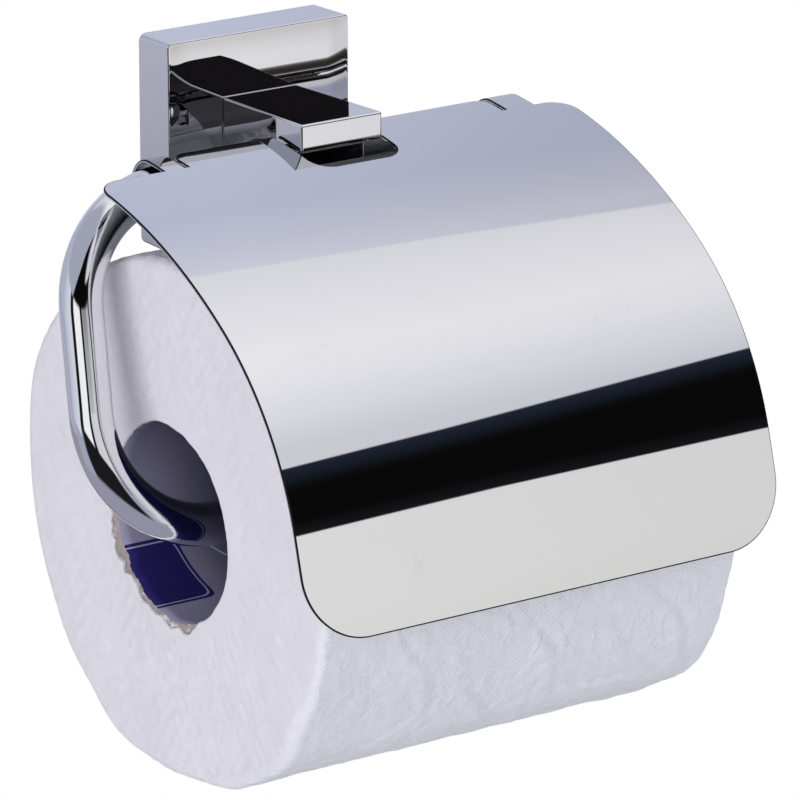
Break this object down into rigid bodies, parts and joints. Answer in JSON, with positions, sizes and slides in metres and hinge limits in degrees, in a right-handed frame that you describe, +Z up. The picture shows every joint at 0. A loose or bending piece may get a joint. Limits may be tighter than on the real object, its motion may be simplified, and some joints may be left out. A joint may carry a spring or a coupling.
{
  "type": "toilet paper holder",
  "caption": "Wall-mounted toilet paper holder in mirror-polished steel: square rosette, bent roll bar and a hinged curved cover over a paper roll.",
  "frame": {"origin": "centre of the rosette's back, on the wall", "axes": "+Y goes into the wall and is the outward normal of the rosette's back, -Y points to the user, +Z is up, +X is to the right of a user who faces the wall"},
  "size_m": [0.1278, 0.1151, 0.1402],
  "materials": {
    "polished_steel": "polished",
    "plated_steel": "satin",
    "dark_steel": "satin",
    "cardboard": "matte",
    "tissue_paper": "matte"
  },
  "bodies": {
    "holder": {"rosette": "polished_steel", "wall_bracket": "plated_steel", "set_screw": "dark_steel", "arm_screws": "dark_steel", "arm_washers": "plated_steel", "arm": "polished_steel", "roll_bar": "polished_steel"},
    "cover": {"cover": "polished_steel"},
    "roll": {"core_tube": "cardboard", "paper_roll": "tissue_paper"}
  },
  "joints": [
    {"name": "cover_hinge", "type": "hinge", "parent": "holder", "child": "cover", "pos_m": [0, -0.032, -0.0006], "axis": [-1, 0, 0], "range_deg": [0, 120]},
    {"name": "roll_spin", "type": "hinge", "parent": "holder", "child": "roll", "pos_m": [-0.0003, -0.055, -0.0633], "axis": [1, 0, 0], "continuous": true}
  ]
}
